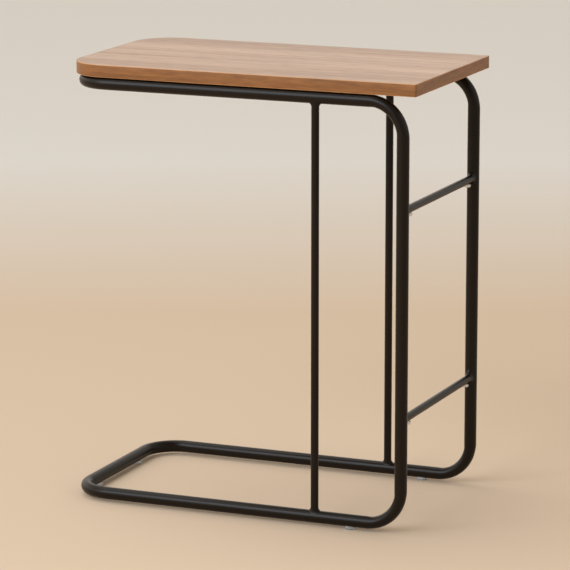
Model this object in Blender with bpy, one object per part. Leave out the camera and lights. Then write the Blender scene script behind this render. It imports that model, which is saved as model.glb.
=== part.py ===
"""C-shaped side table: a laminated board carried on a bent steel tube frame.

The open side of the C faces -X, the two uprights stand at +X and the front is -Y.
Units are metres, +Z is up, and the origin is on the floor in the middle of the plan.
"""
import math

import bmesh
import bpy
from mathutils import Matrix, Vector

# Overall sizes
TABLE_HEIGHT = 0.573
BOARD_LENGTH = 0.480
BOARD_DEPTH = 0.270

# Tabletop board: a core between two sheets, with a band round its edge
BOARD_THICKNESS = 0.016
BOARD_CORNER_RADIUS = 0.053
BOARD_END_EASE = 0.0025
FACE_SHEET = 0.0008
BACKING_SHEET = 0.0008
EDGE_BAND = 0.0010
GLUE_LINE = 0.0001

# Frame tubes: a front and a rear half, joined by a sleeve in the middle of each end
TUBE_DIAMETER = 0.016
TUBE_WALL = 0.0012
BEND_RADIUS = 0.045
TUBE_PROUD = 0.0022
UPRIGHT_SETBACK = 0.0186
TOP_END_SETBACK = 0.0045
SLEEVE_LENGTH = 0.060
SLEEVE_WALL = 0.0012

# Struts: solid rods welded between the top run and the base run of each half
STRUT_DIAMETER = 0.010
STRUT_SETBACK = 0.1165

# Crossbars: short tubes pushed over spigots on the uprights and screwed from below
CROSSBAR_DIAMETER = 0.010
CROSSBAR_WALL = 0.0010
UPPER_CROSSBAR_DROP = 0.136
LOWER_CROSSBAR_RISE = 0.136
SPIGOT_LENGTH = 0.026
CROSSBAR_SCREW_SETBACK = 0.022
SPIGOT_SKIN = 0.0015
CROSSBAR_SCREW_DIAMETER = 0.004
CROSSBAR_SCREW_HEAD_DIAMETER = 0.0086
CROSSBAR_SCREW_HEAD_HEIGHT = 0.0038

# Weld fillets where a strut or a spigot meets a tube: a lip, a waist and a toe
WELD_LEG = 0.0042
WELD_LIP = 0.0007
WELD_WAIST_RISE = 0.0019
WELD_WAIST_WIDTH = 0.0014
WELD_TOE_RISE = 0.0004
STRUT_WELD_TOE = 0.0028
SPIGOT_WELD_TOE = 0.0040

# Tabletop fixings: tabs on the top runs, screws through them, threaded inserts in the board
TAB_LENGTH = 0.024
TAB_REACH = 0.026
TAB_THICKNESS = 0.0025
TAB_CORNER_RADIUS = 0.006
TAB_HOLE_SETBACK = 0.016
TAB_FROM_END = 0.095
TAB_FROM_UPRIGHT = 0.165
TAB_WELD_LEG = 0.003
TAB_WELD_SETBACK = 0.002
TABLETOP_SCREW_DIAMETER = 0.005
TABLETOP_SCREW_TIP_CLEARANCE = 0.0008
TABLETOP_SCREW_HEAD_DIAMETER = 0.010
TABLETOP_SCREW_HEAD_HEIGHT = 0.0030
INSERT_DIAMETER = 0.009
INSERT_LENGTH = 0.010

# Pan heads with a cross recess, as shares of the head's diameter and height
PAN_CROWN_SHARE = 0.72
PAN_SHOULDER_SHARE = 0.45
RECESS_SPAN_SHARE = 0.58
RECESS_WIDTH_SHARE = 0.16
RECESS_DEPTH_SHARE = 0.50

# Feet: push-in glides under the base runs
FOOT_HEIGHT = 0.003
FOOT_DIAMETER = 0.013
FOOT_RIM = 0.0020
FOOT_CHAMFER = 0.0006
FOOT_STEM_DIAMETER = 0.005
FOOT_BARB_DIAMETER = 0.0062
FOOT_BARB_LENGTH = 0.0020
FOOT_BARB_TIP_DIAMETER = 0.0036
FOOT_FROM_BEND = 0.023

# Clearance between pieces that seat on or in each other
FIT_GAP = 0.0003

# Facets
TUBE_SIDES = 16
SMALL_SIDES = 12
BEND_STEPS = 6
BOARD_CORNER_STEPS = 8
BOARD_END_STEPS = 3
TAB_CORNER_STEPS = 3
SHARP_ANGLE = math.radians(35)

# Places worked out from the sizes above
TUBE_RADIUS = TUBE_DIAMETER / 2
TUBE_BORE_RADIUS = TUBE_RADIUS - TUBE_WALL
TUBE_CLEAR_RADIUS = TUBE_RADIUS + FIT_GAP
BOARD_BOTTOM = TABLE_HEIGHT - BOARD_THICKNESS
TOP_RUN_CREST = BOARD_BOTTOM - FIT_GAP
TOP_Z = TOP_RUN_CREST - TUBE_RADIUS
BASE_Z = FOOT_HEIGHT + TUBE_RADIUS
TUBE_Y = BOARD_DEPTH / 2 + TUBE_PROUD - TUBE_RADIUS
BASE_END_X = TUBE_RADIUS - BOARD_LENGTH / 2
TOP_END_X = BASE_END_X + TOP_END_SETBACK
UPRIGHT_X = BOARD_LENGTH / 2 - UPRIGHT_SETBACK
STRUT_X = UPRIGHT_X - STRUT_SETBACK
UPPER_CROSSBAR_Z = TOP_Z - UPPER_CROSSBAR_DROP
LOWER_CROSSBAR_Z = BASE_Z + LOWER_CROSSBAR_RISE
SPIGOT_RADIUS = CROSSBAR_DIAMETER / 2 - CROSSBAR_WALL - FIT_GAP
SPIGOT_TIP_Y = TUBE_Y - TUBE_RADIUS - SPIGOT_LENGTH
CROSSBAR_END_Y = TUBE_Y - TUBE_RADIUS - WELD_LEG - FIT_GAP
CROSSBAR_SCREW_Y = TUBE_Y - CROSSBAR_SCREW_SETBACK
CROSSBAR_SCREW_SEAT = CROSSBAR_DIAMETER / 2 + FIT_GAP
CROSSBAR_SCREW_LENGTH = CROSSBAR_SCREW_SEAT + SPIGOT_RADIUS - SPIGOT_SKIN - FIT_GAP
CROSSBAR_SCREW_HOLE_RADIUS = CROSSBAR_SCREW_DIAMETER / 2 + FIT_GAP
TAB_BOTTOM = TOP_RUN_CREST - TAB_THICKNESS
TAB_HOLE_Y = TUBE_Y - TAB_HOLE_SETBACK
TAB_WELD_TOP = TUBE_RADIUS - TAB_THICKNESS - FIT_GAP
TABLETOP_SCREW_HOLE_RADIUS = TABLETOP_SCREW_DIAMETER / 2 + FIT_GAP
INSERT_HOLE_RADIUS = INSERT_DIAMETER / 2 + FIT_GAP
INSERT_TOP = BOARD_BOTTOM + INSERT_LENGTH
TABLETOP_SCREW_SEAT = TAB_BOTTOM - FIT_GAP
TABLETOP_SCREW_LENGTH = INSERT_TOP - TABLETOP_SCREW_TIP_CLEARANCE - TABLETOP_SCREW_SEAT
FOOT_STEM_HOLE_RADIUS = FOOT_STEM_DIAMETER / 2 + FIT_GAP
FOOT_BARB_DEPTH = math.sqrt(TUBE_BORE_RADIUS ** 2 - (FOOT_BARB_DIAMETER / 2) ** 2)

# What repeats: the two halves, the crossbars and the tab places along a top run
SIDES = (("front", -1), ("rear", 1))
CROSSBARS = (("upper", UPPER_CROSSBAR_Z), ("lower", LOWER_CROSSBAR_Z))
TABS = (("left", BASE_END_X + TAB_FROM_END), ("right", UPRIGHT_X - TAB_FROM_UPRIGHT))


# Scene, materials and objects

def clear_scene():
    for old in list(bpy.data.objects):
        bpy.data.objects.remove(old, do_unlink=True)


def make_material(name, colour, roughness, metallic):
    material = bpy.data.materials.new(name)
    material.use_nodes = True
    shader = material.node_tree.nodes["Principled BSDF"]
    shader.inputs["Base Color"].default_value = (*colour, 1.0)
    shader.inputs["Roughness"].default_value = roughness
    shader.inputs["Metallic"].default_value = metallic
    return material


def make_materials():
    return {
        "wood_print": make_material("wood_print", (0.50, 0.33, 0.21), 0.45, 0.0),
        "edge_band": make_material("edge_band", (0.30, 0.14, 0.06), 0.45, 0.0),
        "particle_board": make_material("particle_board", (0.52, 0.38, 0.24), 0.85, 0.0),
        "backing_paper": make_material("backing_paper", (0.40, 0.27, 0.17), 0.60, 0.0),
        "powder_coat": make_material("powder_coat", (0.018, 0.016, 0.015), 0.45, 0.0),
        "zinc_steel": make_material("zinc_steel", (0.70, 0.70, 0.72), 0.30, 1.0),
        "clear_plastic": make_material("clear_plastic", (0.80, 0.83, 0.85), 0.35, 0.0),
    }


def add_object(name, mesh, material):
    piece = bpy.data.objects.new(name, mesh)
    piece.data.materials.append(material)
    piece.parent = bpy.data.objects["side_table"]
    bpy.context.scene.collection.objects.link(piece)
    return piece


def add_operand(name, mesh):
    operand = bpy.data.objects.new(name, mesh)
    operand.hide_render = True
    operand.display_type = "WIRE"
    operand.parent = bpy.data.objects["side_table"]
    bpy.context.scene.collection.objects.link(operand)
    return operand


def combine(piece, operand, operation):
    modifier = piece.modifiers.new(operand.name, "BOOLEAN")
    modifier.operation = operation
    modifier.solver = "EXACT"
    modifier.object = operand


def cut(piece, operand):
    combine(piece, operand, "DIFFERENCE")


# Mesh helpers

def finish_mesh(name, bm):
    bmesh.ops.recalc_face_normals(bm, faces=bm.faces)
    mesh = bpy.data.meshes.new(name)
    bm.to_mesh(mesh)
    bm.free()
    mesh.shade_smooth()
    mesh.set_sharp_from_angle(angle=SHARP_ANGLE)
    return mesh


def bridge(bm, ring_a, ring_b):
    count = len(ring_a)
    for k in range(count):
        after = (k + 1) % count
        bm.faces.new((ring_a[k], ring_a[after], ring_b[after], ring_b[k]))


def side_vectors(direction):
    """Two unit vectors square to a level or an upright direction, the first upright if it can be."""
    level = math.isclose(direction.z, 0, abs_tol=1e-6)
    first = Vector((0, 0, 1)) if level else Vector((1, 0, 0))
    return first, direction.cross(first)


def ring_points(centre, first, second, radius, sides):
    points = []
    for k in range(sides):
        angle = 2 * math.pi * k / sides
        points.append(centre + radius * (math.cos(angle) * first + math.sin(angle) * second))
    return points


def rounded_path(corners, radius):
    """Stations (place, direction) along straight runs joined by right-angle bends."""
    start_direction = (corners[1] - corners[0]).normalized()
    stations = [(corners[0], start_direction)]
    for before, corner, after in zip(corners, corners[1:], corners[2:]):
        arriving = (corner - before).normalized()
        leaving = (after - corner).normalized()
        centre = corner + radius * (leaving - arriving)
        for step in range(BEND_STEPS + 1):
            angle = math.pi / 2 * step / BEND_STEPS
            place = centre + radius * (math.sin(angle) * arriving - math.cos(angle) * leaving)
            stations.append((place, math.cos(angle) * arriving + math.sin(angle) * leaving))
    stations.append((corners[-1], leaving))
    return stations


def tube_mesh(name, stations, outer_radius, bore_radius):
    """A tube that is left open at both ends."""
    bm = bmesh.new()
    direction = stations[0][1]
    first, second = side_vectors(direction)
    outer_rings = []
    bore_rings = []
    for centre, tangent in stations:
        turn = direction.rotation_difference(tangent)
        first = turn @ first
        second = turn @ second
        direction = tangent
        outer = ring_points(centre, first, second, outer_radius, TUBE_SIDES)
        bore = ring_points(centre, first, second, bore_radius, TUBE_SIDES)
        outer_rings.append([bm.verts.new(point) for point in outer])
        bore_rings.append([bm.verts.new(point) for point in bore])
    for rings in (outer_rings, bore_rings):
        for ring_a, ring_b in zip(rings, rings[1:]):
            bridge(bm, ring_a, ring_b)
    for end in (0, -1):
        bridge(bm, outer_rings[end], bore_rings[end])
    return finish_mesh(name, bm)


def rod_mesh(name, start, end, radius, sides):
    """A solid round rod between two points."""
    bm = bmesh.new()
    first, second = side_vectors((end - start).normalized())
    rings = []
    for centre in (start, end):
        rings.append([bm.verts.new(p) for p in ring_points(centre, first, second, radius, sides)])
        bm.faces.new(rings[-1])
    bridge(bm, *rings)
    return finish_mesh(name, bm)


def turned_rings(bm, profile, sides):
    """One ring about Z for each (radius, height) point."""
    rings = []
    for radius, height in profile:
        centre = Vector((0, 0, height))
        points = ring_points(centre, Vector((1, 0, 0)), Vector((0, 1, 0)), radius, sides)
        rings.append([bm.verts.new(point) for point in points])
    return rings


def turned_mesh(name, profile, sides):
    """A solid turned about Z with flat ends."""
    bm = bmesh.new()
    rings = turned_rings(bm, profile, sides)
    for ring_a, ring_b in zip(rings, rings[1:]):
        bridge(bm, ring_a, ring_b)
    bm.faces.new(rings[0])
    bm.faces.new(rings[-1])
    return finish_mesh(name, bm)


def collar_mesh(name, profile, sides):
    """A collar turned about Z from a closed loop of (radius, height) points."""
    bm = bmesh.new()
    rings = turned_rings(bm, profile, sides)
    for ring_a, ring_b in zip(rings, rings[1:] + rings[:1]):
        bridge(bm, ring_a, ring_b)
    return finish_mesh(name, bm)


def prism_mesh(name, outline, low, high):
    """A plate of constant thickness from a plan outline."""
    bm = bmesh.new()
    bottom = [bm.verts.new((x, y, low)) for x, y in outline]
    top = [bm.verts.new((x, y, high)) for x, y in outline]
    bridge(bm, bottom, top)
    bm.faces.new(bottom)
    bm.faces.new(top)
    return finish_mesh(name, bm)


def strip_mesh(name, outer, inner, low, high):
    """A standing strip between two plan lines with the same number of points."""
    bm = bmesh.new()
    sections = []
    for (outer_x, outer_y), (inner_x, inner_y) in zip(outer, inner):
        corners = (
            (outer_x, outer_y, low),
            (outer_x, outer_y, high),
            (inner_x, inner_y, high),
            (inner_x, inner_y, low),
        )
        sections.append([bm.verts.new(corner) for corner in corners])
    for section_a, section_b in zip(sections, sections[1:]):
        bridge(bm, section_a, section_b)
    bm.faces.new(sections[0])
    bm.faces.new(sections[-1])
    return finish_mesh(name, bm)


def arc_points(centre_x, centre_y, radius, start_degrees, end_degrees, steps):
    points = []
    for step in range(steps + 1):
        angle = math.radians(start_degrees + (end_degrees - start_degrees) * step / steps)
        points.append((centre_x + radius * math.cos(angle), centre_y + radius * math.sin(angle)))
    return points


def weld_profile(member_radius, toe_width):
    """A flared fillet: a thin lip on the member that widens to its toe on the tube."""
    bore = member_radius + FIT_GAP
    toe = min(member_radius + toe_width, TUBE_RADIUS)
    root = math.sqrt(TUBE_CLEAR_RADIUS ** 2 - toe ** 2) - FIT_GAP
    return (
        (bore, root),
        (bore, TUBE_RADIUS + WELD_LEG),
        (bore + WELD_LIP, TUBE_RADIUS + WELD_LEG),
        (bore + WELD_WAIST_WIDTH, TUBE_RADIUS + WELD_WAIST_RISE),
        (toe, TUBE_RADIUS + WELD_TOE_RISE),
        (toe, root),
    )


# Screws

def build_screw(name, seat, diameter, length, head_diameter, head_height, material):
    """A pan-head screw that points up, with the underside of its head at the seat."""
    shoulder = head_height * PAN_SHOULDER_SHARE
    profile = (
        (head_diameter / 2 * PAN_CROWN_SHARE, -head_height),
        (head_diameter / 2, -shoulder),
        (head_diameter / 2, 0),
        (diameter / 2, 0),
        (diameter / 2, length),
    )
    screw = add_object(name, turned_mesh("screw", profile, SMALL_SIDES), material)
    screw.location = seat
    outline = cross_outline(head_diameter * RECESS_SPAN_SHARE, head_diameter * RECESS_WIDTH_SHARE)
    recess_top = head_height * (RECESS_DEPTH_SHARE - 1)
    recess = add_operand(f"{name}_recess", prism_mesh("recess", outline, -2 * head_height, recess_top))
    recess.location = seat
    cut(screw, recess)


def cross_outline(span, width):
    """Plan of a cross, one arm after another."""
    outline = []
    for quarter in range(4):
        turn = Matrix.Rotation(quarter * math.pi / 2, 2)
        for x, y in ((width / 2, -width / 2), (span / 2, -width / 2), (span / 2, width / 2)):
            outline.append(tuple(turn @ Vector((x, y))))
    return outline


# Tabletop board

def board_outline(inset):
    """Plan line from the end at +X, round the front, the -X end and the rear, to the +X end again."""
    round_radius = BOARD_CORNER_RADIUS - inset
    ease_radius = BOARD_END_EASE - inset
    round_x = BOARD_CORNER_RADIUS - BOARD_LENGTH / 2
    round_y = BOARD_DEPTH / 2 - BOARD_CORNER_RADIUS
    ease_x = BOARD_LENGTH / 2 - BOARD_END_EASE
    ease_y = BOARD_DEPTH / 2 - BOARD_END_EASE
    outline = arc_points(ease_x, -ease_y, ease_radius, 360, 270, BOARD_END_STEPS)
    outline += arc_points(round_x, -round_y, round_radius, 270, 180, BOARD_CORNER_STEPS)
    outline += arc_points(round_x, round_y, round_radius, 180, 90, BOARD_CORNER_STEPS)
    outline += arc_points(ease_x, ease_y, ease_radius, 90, 0, BOARD_END_STEPS)
    return outline


def tab_places():
    for side_name, side in SIDES:
        for place_name, x in TABS:
            yield f"{side_name}_{place_name}", x, side


def build_board(materials):
    panel = board_outline(EDGE_BAND + GLUE_LINE)
    backing_top = BOARD_BOTTOM + BACKING_SHEET
    face_bottom = TABLE_HEIGHT - FACE_SHEET
    core_mesh = prism_mesh("tabletop_core", panel, backing_top + GLUE_LINE, face_bottom - GLUE_LINE)
    core = add_object("tabletop_core", core_mesh, materials["particle_board"])
    face_mesh = prism_mesh("tabletop_face_sheet", panel, face_bottom, TABLE_HEIGHT)
    add_object("tabletop_face_sheet", face_mesh, materials["wood_print"])
    backing_mesh = prism_mesh("tabletop_backing_sheet", panel, BOARD_BOTTOM, backing_top)
    backing = add_object("tabletop_backing_sheet", backing_mesh, materials["backing_paper"])
    for name, x, side in tab_places():
        hole_start = Vector((x, side * TAB_HOLE_Y, BOARD_BOTTOM - INSERT_LENGTH))
        hole_end = Vector((x, side * TAB_HOLE_Y, INSERT_TOP + FIT_GAP))
        hole_mesh = rod_mesh("insert_hole", hole_start, hole_end, INSERT_HOLE_RADIUS, SMALL_SIDES)
        hole = add_operand(f"{name}_insert_hole", hole_mesh)
        cut(core, hole)
        cut(backing, hole)
    build_edge_bands(materials)


def build_edge_bands(materials):
    outer = board_outline(0)
    inner = board_outline(EDGE_BAND)
    wrap_mesh = strip_mesh("tabletop_edge_band", outer, inner, BOARD_BOTTOM, TABLE_HEIGHT)
    add_object("tabletop_edge_band", wrap_mesh, materials["edge_band"])
    end_x = BOARD_LENGTH / 2
    half_depth = BOARD_DEPTH / 2 - BOARD_END_EASE - GLUE_LINE
    end_outline = [
        (end_x - EDGE_BAND, -half_depth),
        (end_x, -half_depth),
        (end_x, half_depth),
        (end_x - EDGE_BAND, half_depth),
    ]
    end_mesh = prism_mesh("tabletop_end_band", end_outline, BOARD_BOTTOM, TABLE_HEIGHT)
    add_object("tabletop_end_band", end_mesh, materials["edge_band"])


# Tabletop fixings

def build_tabletop_fixings(materials):
    for name, x, side in tab_places():
        build_tab(name, x, side, materials["powder_coat"])
        build_tab_weld(name, x, side, materials["powder_coat"])
        build_screw(
            f"{name}_tabletop_screw",
            Vector((x, side * TAB_HOLE_Y, TABLETOP_SCREW_SEAT)),
            TABLETOP_SCREW_DIAMETER,
            TABLETOP_SCREW_LENGTH,
            TABLETOP_SCREW_HEAD_DIAMETER,
            TABLETOP_SCREW_HEAD_HEIGHT,
            materials["zinc_steel"],
        )
        insert_profile = (
            (TABLETOP_SCREW_HOLE_RADIUS, FIT_GAP),
            (INSERT_DIAMETER / 2, FIT_GAP),
            (INSERT_DIAMETER / 2, INSERT_LENGTH),
            (TABLETOP_SCREW_HOLE_RADIUS, INSERT_LENGTH),
        )
        insert_mesh = collar_mesh("tabletop_insert", insert_profile, SMALL_SIDES)
        insert = add_object(f"{name}_insert", insert_mesh, materials["zinc_steel"])
        insert.location = (x, side * TAB_HOLE_Y, BOARD_BOTTOM)


def build_tab(name, x, side, material):
    """A flat tab whose outer edge is shaped to the top run, with a screw hole."""
    half_length = TAB_LENGTH / 2
    root_y = TUBE_Y
    tip_y = TUBE_Y - TAB_REACH
    arc_y = tip_y + TAB_CORNER_RADIUS
    left_x = x - half_length + TAB_CORNER_RADIUS
    right_x = x + half_length - TAB_CORNER_RADIUS
    outline = [(x - half_length, root_y)]
    outline += arc_points(left_x, arc_y, TAB_CORNER_RADIUS, 180, 270, TAB_CORNER_STEPS)
    outline += arc_points(right_x, arc_y, TAB_CORNER_RADIUS, 270, 360, TAB_CORNER_STEPS)
    outline += [(x + half_length, root_y)]
    mesh = prism_mesh("tab", [(px, side * py) for px, py in outline], TAB_BOTTOM, TOP_RUN_CREST)
    tab = add_object(f"{name}_tab", mesh, material)
    cut(tab, top_run_space(f"{name}_tab", x, side))
    hole_start = Vector((x, side * TAB_HOLE_Y, TAB_BOTTOM - TAB_THICKNESS))
    hole_end = Vector((x, side * TAB_HOLE_Y, TOP_RUN_CREST + TAB_THICKNESS))
    hole_mesh = rod_mesh("tab_hole", hole_start, hole_end, TABLETOP_SCREW_HOLE_RADIUS, SMALL_SIDES)
    cut(tab, add_operand(f"{name}_tab_hole", hole_mesh))


def top_run_space(name, x, side):
    """The space that a stretch of top run takes up, with its clearance."""
    run_start = Vector((x - TAB_LENGTH, side * TUBE_Y, TOP_Z))
    run_end = Vector((x + TAB_LENGTH, side * TUBE_Y, TOP_Z))
    run_mesh = rod_mesh("run_space", run_start, run_end, TUBE_CLEAR_RADIUS, TUBE_SIDES)
    return add_operand(f"{name}_run_space", run_mesh)


def build_tab_weld(name, x, side, material):
    """A fillet in the corner between the underside of a tab and the top run."""
    half_length = TAB_LENGTH / 2 - TAB_WELD_SETBACK
    root = math.sqrt(TUBE_CLEAR_RADIUS ** 2 - TAB_WELD_TOP ** 2)
    section = [
        (0, TAB_WELD_TOP),
        (0, TAB_WELD_TOP - TAB_WELD_LEG),
        (root, TAB_WELD_TOP - TAB_WELD_LEG),
        (root + TAB_WELD_LEG, TAB_WELD_TOP),
    ]
    mesh = prism_mesh("tab_weld", section, -half_length, half_length)
    weld = add_object(f"{name}_tab_weld", mesh, material)
    inward = Vector((0, -side, 0))
    up = Vector((0, 0, 1))
    facing = Matrix((inward, up, inward.cross(up))).transposed().to_4x4()
    weld.matrix_world = Matrix.Translation((x, side * TUBE_Y, TOP_Z)) @ facing
    cut(weld, top_run_space(f"{name}_tab_weld", x, side))


# Frame tubes and the sleeves that join them

def foot_places(side):
    """Name, plan place and tube direction of the two feet under one half of the frame."""
    end_y = TUBE_Y - BEND_RADIUS - FOOT_FROM_BEND
    run_x = UPRIGHT_X - BEND_RADIUS - FOOT_FROM_BEND
    yield "end", Vector((BASE_END_X, side * end_y, 0)), Vector((0, 1, 0))
    yield "run", Vector((run_x, side * TUBE_Y, 0)), Vector((1, 0, 0))


def build_frame_tube(side_name, side, material):
    tube_y = side * TUBE_Y
    joint_y = side * FIT_GAP / 2
    corners = [
        Vector((BASE_END_X, joint_y, BASE_Z)),
        Vector((BASE_END_X, tube_y, BASE_Z)),
        Vector((UPRIGHT_X, tube_y, BASE_Z)),
        Vector((UPRIGHT_X, tube_y, TOP_Z)),
        Vector((TOP_END_X, tube_y, TOP_Z)),
        Vector((TOP_END_X, joint_y, TOP_Z)),
    ]
    stations = rounded_path(corners, BEND_RADIUS)
    name = f"{side_name}_frame_tube"
    tube = add_object(name, tube_mesh(name, stations, TUBE_RADIUS, TUBE_BORE_RADIUS), material)
    for foot_name, place, _ in foot_places(side):
        hole_end = place + Vector((0, 0, BASE_Z))
        hole_mesh = rod_mesh("stem_hole", place, hole_end, FOOT_STEM_HOLE_RADIUS, SMALL_SIDES)
        cut(tube, add_operand(f"{side_name}_{foot_name}_stem_hole", hole_mesh))


def build_sleeves(material):
    outer_radius = TUBE_BORE_RADIUS - FIT_GAP
    direction = Vector((0, 1, 0))
    half = direction * SLEEVE_LENGTH / 2
    for level_name, x, z in (("top", TOP_END_X, TOP_Z), ("base", BASE_END_X, BASE_Z)):
        middle = Vector((x, 0, z))
        stations = [(middle - half, direction), (middle + half, direction)]
        name = f"{level_name}_joint_sleeve"
        add_object(name, tube_mesh(name, stations, outer_radius, outer_radius - SLEEVE_WALL), material)


# Struts and their welds

def build_strut(side_name, side, material):
    base = Vector((STRUT_X, side * TUBE_Y, BASE_Z))
    top = Vector((STRUT_X, side * TUBE_Y, TOP_Z))
    name = f"{side_name}_strut"
    strut = add_object(name, rod_mesh(name, base, top, STRUT_DIAMETER / 2, TUBE_SIDES), material)
    reach = Vector((STRUT_DIAMETER + WELD_LEG, 0, 0))
    profile = weld_profile(STRUT_DIAMETER / 2, STRUT_WELD_TOE)
    for level_name, place, flip in (("base", base, 0), ("top", top, math.pi)):
        run_mesh = rod_mesh("run_space", place - reach, place + reach, TUBE_CLEAR_RADIUS, TUBE_SIDES)
        run_space = add_operand(f"{name}_{level_name}_run_space", run_mesh)
        cut(strut, run_space)
        weld_mesh = collar_mesh("strut_weld", profile, TUBE_SIDES)
        weld = add_object(f"{name}_{level_name}_weld", weld_mesh, material)
        weld.matrix_world = Matrix.Translation(place) @ Matrix.Rotation(flip, 4, "X")
        cut(weld, run_space)


# Crossbars, their spigots, welds and screws

def build_crossbar(bar_name, z, materials):
    direction = Vector((0, 1, 0))
    middle = Vector((UPRIGHT_X, 0, z))
    half = direction * CROSSBAR_END_Y
    stations = [(middle - half, direction), (middle + half, direction)]
    outer_radius = CROSSBAR_DIAMETER / 2
    name = f"{bar_name}_crossbar"
    bar_mesh = tube_mesh(name, stations, outer_radius, outer_radius - CROSSBAR_WALL)
    bar = add_object(name, bar_mesh, materials["powder_coat"])
    for side_name, side in SIDES:
        screw_place = middle + Vector((0, side * CROSSBAR_SCREW_Y, 0))
        below = screw_place - Vector((0, 0, CROSSBAR_DIAMETER))
        wall_mesh = rod_mesh("wall_hole", below, screw_place, CROSSBAR_SCREW_HOLE_RADIUS, SMALL_SIDES)
        cut(bar, add_operand(f"{bar_name}_{side_name}_wall_hole", wall_mesh))
        build_spigot(f"{bar_name}_{side_name}", screw_place, side, materials)


def build_spigot(name, screw_place, side, materials):
    z = screw_place.z
    upright = Vector((UPRIGHT_X, side * TUBE_Y, z))
    tip = Vector((UPRIGHT_X, side * SPIGOT_TIP_Y, z))
    spigot_mesh = rod_mesh("spigot", upright, tip, SPIGOT_RADIUS, TUBE_SIDES)
    spigot = add_object(f"{name}_spigot", spigot_mesh, materials["powder_coat"])
    reach = Vector((0, 0, CROSSBAR_DIAMETER + WELD_LEG))
    upright_mesh = rod_mesh("upright_space", upright - reach, upright + reach, TUBE_CLEAR_RADIUS, TUBE_SIDES)
    upright_space = add_operand(f"{name}_upright_space", upright_mesh)
    cut(spigot, upright_space)

    weld_mesh = collar_mesh("spigot_weld", weld_profile(SPIGOT_RADIUS, SPIGOT_WELD_TOE), TUBE_SIDES)
    weld = add_object(f"{name}_spigot_weld", weld_mesh, materials["powder_coat"])
    weld.matrix_world = Matrix.Translation(upright) @ Matrix.Rotation(side * math.pi / 2, 4, "X")
    cut(weld, upright_space)

    seat = screw_place - Vector((0, 0, CROSSBAR_SCREW_SEAT))
    screw_tip = seat + Vector((0, 0, CROSSBAR_SCREW_LENGTH))
    hole_mesh = rod_mesh(
        "spigot_hole",
        seat - Vector((0, 0, CROSSBAR_SCREW_HEAD_HEIGHT)),
        screw_tip + Vector((0, 0, FIT_GAP)),
        CROSSBAR_SCREW_HOLE_RADIUS,
        SMALL_SIDES,
    )
    cut(spigot, add_operand(f"{name}_spigot_hole", hole_mesh))
    build_screw(
        f"{name}_crossbar_screw",
        seat,
        CROSSBAR_SCREW_DIAMETER,
        CROSSBAR_SCREW_LENGTH,
        CROSSBAR_SCREW_HEAD_DIAMETER,
        CROSSBAR_SCREW_HEAD_HEIGHT,
        materials["zinc_steel"],
    )


# Feet

def build_foot(name, place, tube_direction, material):
    """A pad with a saddle top that follows the tube, and a barbed stem in the tube wall."""
    radius = FOOT_DIAMETER / 2
    rim_height = FOOT_HEIGHT + FOOT_RIM
    pad_profile = (
        (radius - FOOT_CHAMFER, 0),
        (radius, FOOT_CHAMFER),
        (radius, rim_height),
    )
    foot = add_object(name, turned_mesh("foot", pad_profile, TUBE_SIDES), material)
    foot.location = place
    axis_point = place + Vector((0, 0, BASE_Z))
    reach = tube_direction * FOOT_DIAMETER
    saddle_mesh = rod_mesh("saddle", axis_point - reach, axis_point + reach, TUBE_CLEAR_RADIUS, TUBE_SIDES)
    cut(foot, add_operand(f"{name}_saddle", saddle_mesh))

    barb_height = BASE_Z - FOOT_BARB_DEPTH + FIT_GAP
    stem_profile = (
        (FOOT_STEM_DIAMETER / 2, FOOT_HEIGHT / 2),
        (FOOT_STEM_DIAMETER / 2, barb_height),
        (FOOT_BARB_DIAMETER / 2, barb_height),
        (FOOT_BARB_TIP_DIAMETER / 2, barb_height + FOOT_BARB_LENGTH),
    )
    stem = add_operand(f"{name}_stem", turned_mesh("stem", stem_profile, SMALL_SIDES))
    stem.location = place
    combine(foot, stem, "UNION")


def build_table():
    clear_scene()
    bpy.context.scene.collection.objects.link(bpy.data.objects.new("side_table", None))
    materials = make_materials()
    build_board(materials)
    build_tabletop_fixings(materials)
    build_sleeves(materials["zinc_steel"])
    for side_name, side in SIDES:
        build_frame_tube(side_name, side, materials["powder_coat"])
        build_strut(side_name, side, materials["powder_coat"])
        for foot_name, place, tube_direction in foot_places(side):
            build_foot(f"{side_name}_{foot_name}_foot", place, tube_direction, materials["clear_plastic"])
    for bar_name, z in CROSSBARS:
        build_crossbar(bar_name, z, materials)


build_table()
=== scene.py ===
"""Looks of a C-shaped side table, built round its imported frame.

Pieces that show are smooth meshes that stand in for their plain solids. Pieces that are hidden inside
others keep their solids and get a finish. Units are metres, +Z is up and the front of the table is -Y.
"""
import math

import bmesh
import bpy
from mathutils import Matrix, Vector


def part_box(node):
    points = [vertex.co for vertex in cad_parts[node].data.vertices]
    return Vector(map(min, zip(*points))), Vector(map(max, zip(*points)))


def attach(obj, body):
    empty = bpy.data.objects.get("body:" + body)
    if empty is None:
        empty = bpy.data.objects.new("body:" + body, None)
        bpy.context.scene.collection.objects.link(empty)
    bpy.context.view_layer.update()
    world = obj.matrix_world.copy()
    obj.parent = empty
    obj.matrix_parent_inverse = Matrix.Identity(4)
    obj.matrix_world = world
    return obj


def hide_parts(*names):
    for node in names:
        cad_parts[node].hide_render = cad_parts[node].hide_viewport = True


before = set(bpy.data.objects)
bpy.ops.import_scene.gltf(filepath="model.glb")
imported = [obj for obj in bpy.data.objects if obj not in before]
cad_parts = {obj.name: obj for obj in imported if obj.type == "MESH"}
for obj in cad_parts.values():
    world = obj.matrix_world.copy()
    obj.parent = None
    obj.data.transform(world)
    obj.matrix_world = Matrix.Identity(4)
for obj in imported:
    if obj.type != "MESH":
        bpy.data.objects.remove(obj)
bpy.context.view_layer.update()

# Board: a band's face is an arris where the upward share of its normal lies between the slants
EDGE_BAND = 0.0010
GLUE_LINE = 0.00003
SHEET = 0.0008
BOARD_CORNER_RADIUS = 0.053
BOARD_CORNER_EASE = 0.0025
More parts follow.
